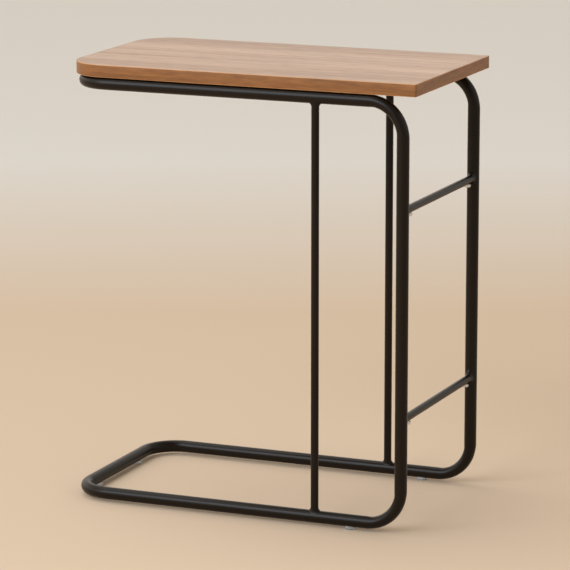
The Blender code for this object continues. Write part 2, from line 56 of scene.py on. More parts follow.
BAND_ARRIS = 0.0007
ARRIS_SLANT = (0.1, 0.99)
SHEET_ARRIS = 0.00010
INSERT_HOLE_RADIUS = 0.0048

# Bent tubes
TUBE_RADIUS = 0.008
TUBE_WALL = 0.0012
BEND_RADIUS = 0.045
BEND_INSIDE = 0.0007
BEND_OUTSIDE = 0.0003
BEND_ONSET = 12.0
TUBE_END_EASE = 0.0001
TUBE_JOINT_GAP = 0.00004

# Crossbars
CROSSBAR_WALL = 0.0010
CROSSBAR_END_EASE = 0.0003
CROSSBAR_HOLE_RADIUS = 0.0023
CROSSBAR_SCREW_DIAMETER = 0.004
CROSSBAR_SCREW_HEAD = 0.0038

# Weld fillets: struts, then spigots, which are heavier above their bars, then what both share
STRUT_WELD_LEG = 0.0036
STRUT_WELD_TOE = 0.0032
STRUT_WELD_PHASE = 1.7
SPIGOT_WELD_TOES = {
    "upper_front": 0.0034,
    "upper_rear": 0.0036,
    "lower_front": 0.0044,
    "lower_rear": 0.0050,
}
SPIGOT_WELD_LEAN = 0.25
SPIGOT_WELD_RADIUS = 0.0048
SPIGOT_WELD_GAP = 0.00005
SPIGOT_WELD_PHASE = 40
WELD_SIDE_SHARE = 0.55
WELD_WAIST = (0.22, 0.30)
WELD_SINK = 0.00015
WELD_LIP = 0.00012
WELD_RIPPLE = 0.05
WELD_RIPPLES = 11
WELD_SWAYS = 3
WELD_LEAST_ACROSS = 0.1

# Tabs under the board
TAB_CORNER_RADIUS = 0.006
TAB_HOLE_RADIUS = 0.0028
TAB_EASE = 0.0003
TAB_WELD_LEG = 0.0032
TAB_WELD_RIPPLES = 7
TAB_WELD_RIPPLE = 0.00025
TAB_WELD_TAPER = 0.35
TAB_WELD_END_SHARE = 0.25
TAB_WELD_HOLLOW = 0.9
TABLETOP_SCREW_DIAMETER = 0.005
TABLETOP_SCREW_HEAD = 0.0030

# Screws: shares of the head's diameter and height and, at the tip, of the screw's diameter
PAN_CENTRE_SHARE = 0.02
PAN_CROWN_SHARE = 0.62
PAN_SHOULDER_SHARE = 0.35
PAN_DOME_SHARE = 0.62
PAN_WALL_SHARE = 0.08
PAN_LIP_SHARE = 0.97
RECESS_SPAN_SHARE = 0.58
RECESS_WIDTH_SHARE = 0.16
RECESS_DEPTH_SHARE = 0.55
RECESS_MOUTH_SHARE = 1.15
RECESS_FLOOR_SHARE = 0.8
SCREW_TIP_SHARE = 0.25

# Feet
FOOT_EDGE = 0.0007
FOOT_RIM = 0.005
FOOT_STEM_RADIUS = 0.0025
FOOT_SADDLE_GAP = 0.00005
FOOT_SADDLE_SHARES = (1.0, 0.97, 0.85, 0.7)
FOOT_SOLE_SHARE = 0.5

# Darker patches in the face print: middle along and across the grain, reach along and across, and depth.
# The one along the rear edge is painted reflection; the others only darken the print
FACE_DARK_PATCHES = (
    # painted reflection: the first patch darkens the print along the rear edge
    (0.04, 0.112, 0.60, 0.048, 0.08),
    (-0.12, -0.032, 0.45, 0.020, 0.06),
    (-0.12, -0.112, 0.36, 0.036, 0.07),
    (0.17, -0.080, 0.20, 0.055, 0.06),
)
PATCH_CORE = 0.5

# Prints: linear tones (light, dark, dark lines), roughness, sideways wander of the grain (per metre, and
# how far), shares of the bands, streaks and mottle, strength of the dark lines, how much duller the dark
# tones are, specular level and offset of the pattern
FACE_PRINT = {
    # The face tones are paler and greyer than the edging's: partly the print's own colour, partly painted
    # sheen on the top
    "tones": ((0.52, 0.298, 0.166, 1.0), (0.305, 0.155, 0.080, 1.0), (0.18, 0.085, 0.043, 1.0)),
    "roughness": 0.26,
    "wander": (2.2, 0.006),
    "dark_patches": FACE_DARK_PATCHES,
    "shares": (0.28, 0.42, 0.30),
    "lines": 0.4,
    "duller": 0.09,
    "specular": 0.5,
    "offset": 0.0,
}
EDGE_PRINT = {
    "tones": ((0.345, 0.150, 0.049, 1.0), (0.225, 0.090, 0.027, 1.0), (0.135, 0.056, 0.018, 1.0)),
    "roughness": 0.42,
    "wander": (16.0, 0.004),
    "dark_patches": (),
    "shares": (0.3, 0.25, 0.45),
    "lines": 0.4,
    "duller": 0.0,
    "specular": 0.35,
    "offset": 20.0,
}
# Lighter tones on the rounded arrises of the bands: partly the trimmed edge, partly painted highlight
TRIM_HIGHLIGHT_PRINT = {
    **EDGE_PRINT,
    "tones": ((0.62, 0.330, 0.150, 1.0), (0.52, 0.260, 0.110, 1.0), (0.40, 0.190, 0.080, 1.0)),
}
BACKING_PRINT = {
    **FACE_PRINT,
    "tones": ((0.33, 0.155, 0.078, 1.0), (0.24, 0.115, 0.060, 1.0), (0.18, 0.080, 0.042, 1.0)),
    "roughness": 0.55,
    "offset": 40.0,
}

# Layers of a print: waves per metre along and across the grain, offset, detail and roughness of the noise
GRAIN_LAYERS = {
    "bands": (1.1, 17.0, 3.1, 3.0, 0.55),
    "streaks": (2.4, 105.0, 7.7, 4.0, 0.6),
    "mottle": (40.0, 240.0, 9.1, 2.0, 0.55),
    "lines": (1.3, 62.0, 11.3, 2.0, 0.5),
    "fibres": (12.0, 1300.0, 5.9, 2.0, 0.6),
    "pores": (70.0, 2300.0, 2.3, 1.0, 0.5),
}

# How the layers show: spans of their noises, and the shade, roughness and bump that they give
WANDER_ACROSS = 3
PALE_SPAN = (0.36, 0.62)
LINE_SPAN = (0.0, 0.035)
FIBRE_SHADE = (0.90, 1.06)
FIBRE_MATT = (0.04, -0.04)
PORE_SPAN = (0.60, 0.72)
PORE_SHADE = (1.0, 0.80)
PRINT_BUMP = (0.00004, 0.35)

# Other finishes: tones are dark and light, noises are waves per metre, detail and roughness, and bumps are
# height and strength. Most of a noise lies in its span.
NOISE_SPAN = (0.3, 0.7)
COAT_TONES = ((0.0042, 0.0017, 0.0003, 1.0), (0.0072, 0.0032, 0.0007, 1.0))
COAT_CLOUD = (22.0, 3.0)
COAT_SPECK = (2600.0, 1.0)
COAT_SHARES = (0.6, 0.4)
COAT_PEEL = (900.0, 2.0)
COAT_ROUGHNESS = (0.28, 0.38)
COAT_SPECULAR = 0.23
COAT_BUMP = (0.00006, 0.25)
ZINC_TONES = ((0.62, 0.62, 0.63, 1.0), (0.80, 0.80, 0.82, 1.0))
ZINC_CLOUD = (160.0, 2.0)
ZINC_SCUFF = (700.0, 4.0, 0.65)
ZINC_ROUGHNESS = (0.24, 0.40)
ZINC_BUMP = (0.00002, 0.25)
PLASTIC_TONES = ((0.74, 0.80, 0.88, 1.0), (0.85, 0.91, 0.98, 1.0))
PLASTIC_HAZE = (260.0, 3.0)
PLASTIC_ROUGHNESS = (0.30, 0.42)
PLASTIC_TRANSMISSION = 0.8
PLASTIC_IOR = 1.48
PLASTIC_BUMP = (0.00003, 0.2)
CHIP_TONES = ((0.30, 0.19, 0.10, 1.0), (0.56, 0.42, 0.27, 1.0))
CHIP_SCALE = 650.0
CHIP_DUST = (1500.0, 3.0)
CHIP_SPAN = (0.0, 0.4)
CHIP_ROUGHNESS = (0.75, 0.92)
CHIP_BUMP = (0.0002, 0.5)

# Smoothness of the meshes
TUBE_SIDES = 48
BEND_STEPS = 28
SCREW_SIDES = 40
CORNER_STEPS = 40
EASE_STEPS = 8
ARRIS_STEPS = 4
WELD_SIDES = 96
WELD_STEPS = 9
TAB_WELD_STEPS = 12
TAB_WELD_CURVE_STEPS = 6
PAN_STEPS = 8
FOOT_EDGE_STEPS = 5
FLOOR_SIDES = 96
SHARP_ANGLE = math.radians(32)

# Camera: angles in degrees, places in metres, lens and sensor in millimetres
CAMERA_AZIMUTH = 22.65549
CAMERA_ELEVATION = 11.94779
CAMERA_DISTANCE = 4.51137
CAMERA_TARGET = Vector((0.01035, 0.0, 0.27817))
CAMERA_LENS = 219.743
CAMERA_SENSOR = 36.0
CAMERA_CLIP = 100.0

# Floor: the sweep is how far behind the table it turns paler
FLOOR_RADIUS = 30.0
FLOOR_COLOUR = (0.625, 0.490, 0.360, 1.0)
FAR_FLOOR_COLOUR = (0.73, 0.70, 0.655, 1.0)
FLOOR_ROUGHNESS = 0.8
FLOOR_SPECULAR = 0.1
SWEEP = (1.1, 2.5)
BEHIND = Vector((-0.385, 0.923, 0.0))

# Lamps
LIGHT_TARGET = Vector((0.0, 0.0, 0.3))
KEY_DIRECTION = Vector((-0.26, 0.07, 0.95))
KEY_STRENGTH = 0.69
KEY_SPREAD = 38.0
KEY_COLOUR = (1.0, 0.985, 0.96)
SOFTBOX_PLACE = Vector((-1.4, -3.28, 2.54))
SOFTBOX_SIZE = (3.4, 2.6)
SOFTBOX_WATTS = 130.0
SOFTBOX_COLOUR = (0.91, 0.97, 1.04)

# Surround: strengths in front of and behind the table, cosines between which they change, and the heights
# over which the pale horizon fades
AMBIENT_COLOUR = (1.0, 0.93, 0.84, 1.0)
AMBIENT = (0.17, 0.63)
AMBIENT_REACH = (-0.9, 0.45)
HORIZON = (0.07, 0.13)
HORIZON_STRENGTH = 0.68

# Glows behind, left and right of the table: where they are, cosines at their edge and middle, and strength
GLOWS = (
    (Vector((-0.40, 0.90, 0.16)), (0.72, 0.98), 0.5),
    (Vector((-1.0, -0.25, 0.05)), (0.5, 0.95), 1.15),
    (Vector((1.0, -0.1, 0.1)), (0.5, 0.95), 0.35),
)

SIDES = (("front", -1), ("rear", 1))
LEVELS = ("upper", "lower")
TAB_PLACES = ("left", "right")

# Feet, and whether the tube over them runs along Y
FOOT_PLACES = (("end", True), ("run", False))

X_AXIS = Vector((1, 0, 0))
Y_AXIS = Vector((0, 1, 0))
Z_AXIS = Vector((0, 0, 1))


# Places read from the frame

def middle(node):
    low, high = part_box(node)
    return (low + high) / 2


def size(node):
    low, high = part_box(node)
    return high - low


board_low, board_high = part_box("tabletop_edge_band")
rear_low, rear_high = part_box("rear_frame_tube")
tube_y = rear_high.y - TUBE_RADIUS
base_z = rear_low.z + TUBE_RADIUS
top_z = rear_high.z - TUBE_RADIUS
base_end_x = middle("base_joint_sleeve").x
top_end_x = middle("top_joint_sleeve").x
upright_x = rear_high.x - TUBE_RADIUS


# Mesh helpers

def bridge(bm, ring_a, ring_b):
    count = len(ring_a)
    for k in range(count):
        after = (k + 1) % count
        bm.faces.new((ring_a[k], ring_a[after], ring_b[after], ring_b[k]))


def bridge_rings(bm, rings):
    for ring_a, ring_b in zip(rings, rings[1:]):
        bridge(bm, ring_a, ring_b)


def add_ring(bm, points):
    return [bm.verts.new(point) for point in points]


def circle(centre, first, second, radius, sides):
    points = []
    for k in range(sides):
        angle = 2 * math.pi * k / sides
        points.append(centre + radius * (math.cos(angle) * first + math.sin(angle) * second))
    return points


def flat_ring(bm, radius, height, sides):
    return add_ring(bm, circle(height * Z_AXIS, X_AXIS, Y_AXIS, radius, sides))


def finish_mesh(name, bm):
    bmesh.ops.recalc_face_normals(bm, faces=bm.faces)
    mesh = bpy.data.meshes.new(name)
    bm.to_mesh(mesh)
    bm.free()
    mesh.shade_smooth()
    mesh.set_sharp_from_angle(angle=SHARP_ANGLE)
    return mesh


def turned_mesh(name, profile, sides):
    """A solid turned about Z from (radius, height) points, with flat ends."""
    bm = bmesh.new()
    rings = [flat_ring(bm, radius, height, sides) for radius, height in profile]
    bridge_rings(bm, rings)
    bm.faces.new(rings[0])
    bm.faces.new(rings[-1])
    return finish_mesh(name, bm)


def cut_mesh(mesh, cutters):
    """The mesh with the cutter meshes taken out of it."""
    piece = bpy.data.objects.new("uncut", mesh)
    bpy.context.scene.collection.objects.link(piece)
    tools = []
    for cutter in cutters:
        tool = bpy.data.objects.new("cutter", cutter)
        bpy.context.scene.collection.objects.link(tool)
        tools.append(tool)
        modifier = piece.modifiers.new("cut", "BOOLEAN")
        modifier.operation = "DIFFERENCE"
        modifier.solver = "EXACT"
        modifier.object = tool
    depsgraph = bpy.context.evaluated_depsgraph_get()
    result = bpy.data.meshes.new_from_object(piece.evaluated_get(depsgraph))
    result.name = mesh.name
    result.shade_smooth()
    result.set_sharp_from_angle(angle=SHARP_ANGLE)
    for done in [piece] + tools:
        bpy.data.objects.remove(done)
    return result


def add_piece(name, mesh, material, slot, *nodes):
    """A piece of the table that stands for CAD nodes, which it hides, and takes the given finish. The slot
    is not used.
    """
    piece = bpy.data.objects.new(name, mesh)
    if not mesh.materials:
        mesh.materials.append(material)
    bpy.context.scene.collection.objects.link(piece)
    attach(piece, "root")
    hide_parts(*nodes)
    return piece


def place_piece(piece, origin, x_axis, z_axis):
    """Moves a piece so that its own X and Z axes lie along two directions at a point."""
    y_axis = z_axis.cross(x_axis)
    turn = Matrix((x_axis, y_axis, z_axis)).transposed().to_4x4()
    piece.matrix_world = Matrix.Translation(origin) @ turn


def smooth_step(value):
    return value * value * (3 - 2 * value)


# Materials

def new_material(name):
    material = bpy.data.materials.new(name)
    material.use_nodes = True
    tree = material.node_tree
    return material, tree, tree.nodes["Principled BSDF"]


def new_node(tree, kind, **inputs):
    """A node whose inputs are set to values or linked to other nodes' outputs."""
    node = tree.nodes.new(kind)
    for name, value in inputs.items():
        connect(tree, node.inputs[name.replace("_", " ")], value)
    return node


def connect(tree, socket, value):
    if isinstance(value, bpy.types.NodeSocket):
        tree.links.new(value, socket)
    else:
        socket.default_value = value


def maths(tree, operation, *values):
    node = tree.nodes.new("ShaderNodeMath")
    node.operation = operation
    for socket, value in zip(node.inputs, values):
        connect(tree, socket, value)
    return node.outputs[0]


def rescale(tree, value, low, high, new_low=0.0, new_high=1.0):
    node = new_node(tree, "ShaderNodeMapRange", Value=value, From_Min=low, From_Max=high)
    node.inputs["To Min"].default_value = new_low
    node.inputs["To Max"].default_value = new_high
    return node.outputs["Result"]


def mix_colours(tree, factor, first, second, blend="MIX"):
    node = tree.nodes.new("ShaderNodeMix")
    node.data_type = "RGBA"
    node.blend_type = blend
    connect(tree, node.inputs["Factor"], factor)
    connect(tree, node.inputs["A"], first)
    connect(tree, node.inputs["B"], second)
    return node.outputs["Result"]


def noise_at(tree, vector, scale, detail=2.0, roughness=0.5):
    node = new_node(tree, "ShaderNodeTexNoise", Vector=vector, Scale=scale, Detail=detail)
    node.inputs["Roughness"].default_value = roughness
    return node.outputs["Fac"]


def stretched(tree, vector, along, across, offset=0.0):
    """Coordinates scaled along and across the grain."""
    node = new_node(tree, "ShaderNodeMapping", Vector=vector)
    node.inputs["Scale"].default_value = (along, across, 1.0)
    node.inputs["Location"].default_value = (offset, offset, offset)
    return node.outputs["Vector"]


def add_bump(tree, shader, height, distance, strength):
    node = new_node(tree, "ShaderNodeBump", Height=height, Distance=distance, Strength=strength)
    tree.links.new(node.outputs["Normal"], shader.inputs["Normal"])


def object_coordinates(tree):
    return tree.nodes.new("ShaderNodeTexCoord").outputs["Object"]


def wavy_grain(tree, rate, reach, offset):
    """Grain coordinates in metres whose lines wander sideways, this often and this far."""
    grain = tree.nodes.new("ShaderNodeUVMap").outputs["UV"]
    wander = noise_at(tree, stretched(tree, grain, rate, WANDER_ACROSS * rate, offset), 1.0)
    shift = maths(tree, "MULTIPLY", maths(tree, "SUBTRACT", wander, 0.5), 2 * reach)
    lean = new_node(tree, "ShaderNodeCombineXYZ", Y=shift).outputs["Vector"]
    total = tree.nodes.new("ShaderNodeVectorMath")
    tree.links.new(grain, total.inputs[0])
    tree.links.new(lean, total.inputs[1])
    return total.outputs["Vector"]


def grain_layer(tree, grain, layer, offset):
    along, across, own_offset, detail, roughness = GRAIN_LAYERS[layer]
    place = stretched(tree, grain, along, across, offset + own_offset)
    return noise_at(tree, place, 1.0, detail, roughness)


def walnut_print(name, figure):
    """Printed walnut: broad bands, thin dark grain lines, fibres and pores along U, and darker patches,
    one of which is painted reflection on the face.
    """
    material, tree, shader = new_material(name)
    light, dark, streak = figure["tones"]
    roughness = figure["roughness"]
    grain = wavy_grain(tree, *figure["wander"], figure["offset"])
    layers = {layer: grain_layer(tree, grain, layer, figure["offset"]) for layer in GRAIN_LAYERS}

    # darker patches; on the face, the one along the rear edge is painted reflection
    tone = darker_patches(tree, grain, figure["dark_patches"])
    for layer, share in zip(("bands", "streaks", "mottle"), figure["shares"]):
        tone = maths(tree, "MULTIPLY_ADD", layers[layer], share, tone)
    paleness = rescale(tree, tone, *PALE_SPAN)
    body = mix_colours(tree, paleness, dark, light)
    ridge = maths(tree, "ABSOLUTE", maths(tree, "SUBTRACT", layers["lines"], 0.5))
    lined = mix_colours(tree, rescale(tree, ridge, *LINE_SPAN, figure["lines"], 0.0), body, streak)
    fibre_shade = rescale(tree, layers["fibres"], *NOISE_SPAN, *FIBRE_SHADE)
    pore_shade = rescale(tree, layers["pores"], *PORE_SPAN, *PORE_SHADE)
    shade = maths(tree, "MULTIPLY", fibre_shade, pore_shade)
    grey = new_node(tree, "ShaderNodeCombineColor", Red=shade, Green=shade, Blue=shade).outputs["Color"]
    tree.links.new(mix_colours(tree, 1.0, lined, grey, "MULTIPLY"), shader.inputs["Base Color"])
    dullness = rescale(tree, paleness, 0.0, 1.0, roughness + figure["duller"], roughness)
    matt = maths(tree, "ADD", dullness, rescale(tree, layers["fibres"], *NOISE_SPAN, *FIBRE_MATT))
    tree.links.new(matt, shader.inputs["Roughness"])
    shader.inputs["Specular IOR Level"].default_value = figure["specular"]
    add_bump(tree, shader, shade, *PRINT_BUMP)
    return material


def darker_patches(tree, grain, patches):
    """Tone that falls in soft patches drawn out along the grain."""
    tone = 0.0
    for along, across, reach_along, reach_across, depth in patches:
        place = new_node(tree, "ShaderNodeMapping", Vector=grain)
        place.vector_type = "TEXTURE"
        place.inputs["Location"].default_value = (along, across, 0.0)
        place.inputs["Scale"].default_value = (reach_along, reach_across, 1.0)
        patch = new_node(tree, "ShaderNodeTexGradient", Vector=place.outputs["Vector"])
        patch.gradient_type = "SPHERICAL"
        fall = rescale(tree, patch.outputs["Fac"], 0.0, PATCH_CORE, 0.0, -depth)
        tone = maths(tree, "ADD", tone, fall)
    return tone


def powder_coat():
    """Satin coat, nearly black and a little brown, with the fine orange peel of baked powder."""
    material, tree, shader = new_material("satin_powder_coat")
    place = object_coordinates(tree)
    tone = 0.0
    for noise, share in zip((COAT_CLOUD, COAT_SPECK), COAT_SHARES):
        tone = maths(tree, "MULTIPLY_ADD", noise_at(tree, place, *noise), share, tone)
    peel = noise_at(tree, place, *COAT_PEEL)
    tree.links.new(mix_colours(tree, tone, *COAT_TONES), shader.inputs["Base Color"])
    tree.links.new(rescale(tree, peel, *NOISE_SPAN, *COAT_ROUGHNESS), shader.inputs["Roughness"])
    shader.inputs["Specular IOR Level"].default_value = COAT_SPECULAR
    add_bump(tree, shader, peel, *COAT_BUMP)
    return material


def zinc_plate():
    """Bright zinc on turned steel, faintly scuffed."""
    material, tree, shader = new_material("bright_zinc")
    place = object_coordinates(tree)
    cloud = noise_at(tree, place, *ZINC_CLOUD)
    scuff = noise_at(tree, place, *ZINC_SCUFF)
    tree.links.new(mix_colours(tree, cloud, *ZINC_TONES), shader.inputs["Base Color"])
    tree.links.new(rescale(tree, scuff, *NOISE_SPAN, *ZINC_ROUGHNESS), shader.inputs["Roughness"])
    shader.inputs["Metallic"].default_value = 1.0
    add_bump(tree, shader, scuff, *ZINC_BUMP)
    return material


def milky_plastic():
    """Moulded translucent plastic, with a slightly matt skin."""
    material, tree, shader = new_material("milky_plastic")
    haze = noise_at(tree, object_coordinates(tree), *PLASTIC_HAZE)
    tree.links.new(mix_colours(tree, haze, *PLASTIC_TONES), shader.inputs["Base Color"])
    tree.links.new(rescale(tree, haze, *NOISE_SPAN, *PLASTIC_ROUGHNESS), shader.inputs["Roughness"])
    shader.inputs["Transmission Weight"].default_value = PLASTIC_TRANSMISSION
    shader.inputs["IOR"].default_value = PLASTIC_IOR
    add_bump(tree, shader, haze, *PLASTIC_BUMP)
    return material


def particle_board():
    """Pressed chips between the sheets."""
    material, tree, shader = new_material("pressed_chips")
    place = object_coordinates(tree)
    chips = new_node(tree, "ShaderNodeTexVoronoi", Vector=place, Scale=CHIP_SCALE).outputs["Distance"]
    dust = noise_at(tree, place, *CHIP_DUST)
    tone = maths(tree, "MULTIPLY", chips, dust)
    colour = mix_colours(tree, rescale(tree, tone, *CHIP_SPAN), *CHIP_TONES)
    tree.links.new(colour, shader.inputs["Base Color"])
    tree.links.new(rescale(tree, dust, *NOISE_SPAN, *CHIP_ROUGHNESS), shader.inputs["Roughness"])
    add_bump(tree, shader, tone, *CHIP_BUMP)
    return material


def make_finishes():
    return {
        "wood_print": walnut_print("walnut_print", FACE_PRINT),
        "edge_band": walnut_print("walnut_edging", EDGE_PRINT),
        "edge_trim_highlight": walnut_print("walnut_trim_highlight", TRIM_HIGHLIGHT_PRINT),
        "backing_paper": walnut_print("walnut_backing", BACKING_PRINT),
        "particle_board": particle_board(),
        "powder_coat": powder_coat(),
        "zinc_steel": zinc_plate(),
        "clear_plastic": milky_plastic(),
    }


# Board

def corner_arc(centre_x, centre_y, radius, start_degrees, steps):
    """Points and outward directions of a quarter turn, clockwise seen from above."""
    stations = []
    for step in range(steps + 1):
        angle = math.radians(start_degrees - 90 * step / steps)
        outward = Vector((math.cos(angle), math.sin(angle), 0))
        stations.append((Vector((centre_x, centre_y, 0)) + radius * outward, outward))
    return stations


def board_line():
    """The board's edge from its end, round the front, the rounded end and the rear, to its end again."""
    ease = BOARD_CORNER_EASE
    round_off = BOARD_CORNER_RADIUS
    right = board_high.x - ease
    left = board_low.x + round_off
    return (
        corner_arc(right, board_low.y + ease, ease, 0, EASE_STEPS)
        + corner_arc(left, board_low.y + round_off, round_off, -90, CORNER_STEPS)
        + corner_arc(left, board_high.y - round_off, round_off, -180, CORNER_STEPS)
        + corner_arc(right, board_high.y - ease, ease, -270, EASE_STEPS)
    )


def quarter_round(centre_offset, centre_z, radius, start_degrees):
    points = []
    for step in range(ARRIS_STEPS + 1):
        angle = math.radians(start_degrees + 90 * step / ARRIS_STEPS)
        points.append((centre_offset + radius * math.cos(angle), centre_z + radius * math.sin(angle)))
    return points


def band_section():
    """(offset outwards, height) round the section of an edge band, with its two outer edges rounded."""
    low = board_low.z
    high = board_high.z
    section = [(-EDGE_BAND, low)]
    section += quarter_round(-BAND_ARRIS, low + BAND_ARRIS, BAND_ARRIS, -90)
    section += quarter_round(-BAND_ARRIS, high - BAND_ARRIS, BAND_ARRIS, 0)
    section += [(-EDGE_BAND, high)]
    return section


def set_grain(mesh, lengths):
    """UVs in metres: U runs along the grain and V across it."""
    layer = mesh.uv_layers.new(name="grain")
    for loop in mesh.loops:
        layer.data[loop.index].uv = lengths[loop.vertex_index]


def band_mesh(name, line):
    """A strip of edge band swept along a plan line, with the grain along it.

    Its arrises take a second, lighter finish: partly the trimmed edge of the band, partly painted
    highlight.
    """
    bm = bmesh.new()
    section = band_section()
    rings = []
    lengths = []
    travelled = 0.0
    previous = line[0][0]
    for place, outward in line:
        travelled += (place - previous).length
        previous = place
        rings.append(add_ring(bm, [place + outward * offset + z * Z_AXIS for offset, z in section]))
        lengths += [(travelled, z + offset) for offset, z in section]
    bridge_rings(bm, rings)
    bm.faces.new(rings[0])
    bm.faces.new(rings[-1])
    mesh = finish_mesh(name, bm)
    set_grain(mesh, lengths)
    for face in mesh.polygons:
        is_arris = ARRIS_SLANT[0] < abs(face.normal.z) < ARRIS_SLANT[1]
        face.material_index = 1 if is_arris else 0
    return mesh


def sheet_mesh(name, line, low, high, holes=()):
    """A thin sheet inside the bands, with its upper and lower edges just eased."""
    bm = bmesh.new()
    inset = EDGE_BAND + GLUE_LINE
    layers = (
        (inset + SHEET_ARRIS, low),
        (inset, low + SHEET_ARRIS),
        (inset, high - SHEET_ARRIS),
        (inset + SHEET_ARRIS, high),
    )
    rings = []
    for offset, z in layers:
        rings.append(add_ring(bm, [place - outward * offset + z * Z_AXIS for place, outward in line]))
    bridge_rings(bm, rings)
    bm.faces.new(rings[0])
    bm.faces.new(rings[-1])
    mesh = finish_mesh(name, bm)
    if holes:
        mesh = cut_mesh(mesh, holes)
    set_grain(mesh, [(vertex.co.x, vertex.co.y) for vertex in mesh.vertices])
    return mesh


def insert_holes():
    holes = []
    reach = 2 * SHEET * Z_AXIS
    for side_name, _ in SIDES:
        for place in TAB_PLACES:
            insert = middle(f"{side_name}_{place}_insert")
            centre = Vector((insert.x, insert.y, board_low.z))
            holes.append(rod_mesh("hole", centre - reach, centre + reach, INSERT_HOLE_RADIUS))
    return holes


def build_board(finishes):
    line = board_line()
    wood = finishes["wood_print"]
    face = sheet_mesh("top_laminate", line, board_high.z - SHEET, board_high.z)
    add_piece("top_laminate", face, wood, "wood_print", "tabletop_face_sheet")
    under = sheet_mesh("underside_laminate", line, board_low.z, board_low.z + SHEET, insert_holes())
    paper = finishes["backing_paper"]
    add_piece("underside_laminate", under, paper, "backing_paper", "tabletop_backing_sheet")
    gap = GLUE_LINE * Y_AXIS
    end_line = [(line[0][0] + gap, X_AXIS), (line[-1][0] - gap, X_AXIS)]
    for name, band_line, node in (
        ("wrap_edging", line, "tabletop_edge_band"),
        ("end_edging", end_line, "tabletop_end_band"),
    ):
        band = band_mesh(name, band_line)
        band.materials.append(finishes["edge_band"])
        # the arrises' lighter finish is partly painted highlight
        band.materials.append(finishes["edge_trim_highlight"])
        add_piece(name, band, finishes["edge_band"], "edge_band", node)


# Bent frame tubes

def bent_path(corners):
    """Stations along runs and right-angle bends: place, direction, way to the bend's centre, squeeze."""
    start = (corners[1] - corners[0]).normalized()
    stations = [(corners[0], start, Vector(), 0.0)]
    for before, corner, after in zip(corners, corners[1:], corners[2:]):
        arriving = (corner - before).normalized()
        leaving = (after - corner).normalized()
        centre = corner + BEND_RADIUS * (leaving - arriving)
        for step in range(BEND_STEPS + 1):
            angle = math.pi / 2 * step / BEND_STEPS
            place = centre + BEND_RADIUS * (math.sin(angle) * arriving - math.cos(angle) * leaving)
            direction = math.cos(angle) * arriving + math.sin(angle) * leaving
            inward = (centre - place).normalized()
            into_bend = min(angle, math.pi / 2 - angle) / math.radians(BEND_ONSET)
            stations.append((place, direction, inward, smooth_step(min(into_bend, 1.0))))
    stations.append((corners[-1], leaving, Vector(), 0.0))
    return stations


def squeezed(point, centre, inward, share):
    """A point of a tube's section, drawn in as a bender does, most of all on the inside of the bend."""
    reach = (point - centre).dot(inward) / TUBE_RADIUS
    depth = BEND_INSIDE if reach > 0 else -BEND_OUTSIDE
    return point - inward * depth * share * reach ** 2


def tube_mesh(name, stations, outer_radius, bore_radius, end_ease):
    """A hollow tube along stations, with eased ends."""
    bm = bmesh.new()
    direction = stations[0][1]
    first = Z_AXIS
    second = direction.cross(first)
    outer_rings = []
    bore_rings = []
    for place, tangent, inward, share in stations:
        turn = direction.rotation_difference(tangent)
        first = turn @ first
        second = turn @ second
        direction = tangent
        for rings, radius in ((outer_rings, outer_radius), (bore_rings, bore_radius)):
            points = circle(place, first, second, radius, TUBE_SIDES)
            rings.append(add_ring(bm, [squeezed(point, place, inward, share) for point in points]))
    for rings in (outer_rings, bore_rings):
        bridge_rings(bm, rings)
    for end, ring in ((stations[0], 0), (stations[-1], -1)):
        ease_end(bm, end, outer_rings[ring], bore_rings[ring], end_ease, 1 if ring else -1)
    return finish_mesh(name, bm)


def ease_end(bm, station, outer_ring, bore_ring, ease, way):
    """Closes a tube's end with a rim that is eased at its outer edge."""
    place, direction = station[:2]
    rim = []
    for vertex in outer_ring:
        outward = (vertex.co - place).normalized()
        rim.append(vertex.co - outward * ease + direction * ease * way)
    rim_ring = add_ring(bm, rim)
    bore_rim = add_ring(bm, [vertex.co + direction * ease * way for vertex in bore_ring])
    bridge(bm, outer_ring, rim_ring)
    bridge(bm, rim_ring, bore_rim)
    bridge(bm, bore_rim, bore_ring)


def build_frame_tube(side_name, side, finishes):
    run_y = side * tube_y
    start_y = side * (TUBE_JOINT_GAP / 2 + TUBE_END_EASE)
    corners = [
        Vector((base_end_x, start_y, base_z)),
        Vector((base_end_x, run_y, base_z)),
        Vector((upright_x, run_y, base_z)),
        Vector((upright_x, run_y, top_z)),
        Vector((top_end_x, run_y, top_z)),
        Vector((top_end_x, start_y, top_z)),
    ]
    name = f"{side_name}_bent_tube"
    mesh = tube_mesh(name, bent_path(corners), TUBE_RADIUS, TUBE_RADIUS - TUBE_WALL, TUBE_END_EASE)
    add_piece(name, mesh, finishes["powder_coat"], "powder_coat", f"{side_name}_frame_tube")


# Struts and weld fillets

def rod_mesh(name, start, end, radius):
    bm = bmesh.new()
    second = (end - start).normalized().cross(X_AXIS)
    rings = [add_ring(bm, circle(place, X_AXIS, second, radius, TUBE_SIDES)) for place in (start, end)]
    bridge_rings(bm, rings)
    for ring in rings:
        bm.faces.new(ring)
    return finish_mesh(name, bm)


def tube_height(across):
    """Height of a tube's surface over its axis, this far to one side."""
    return math.sqrt(TUBE_RADIUS ** 2 - across ** 2)


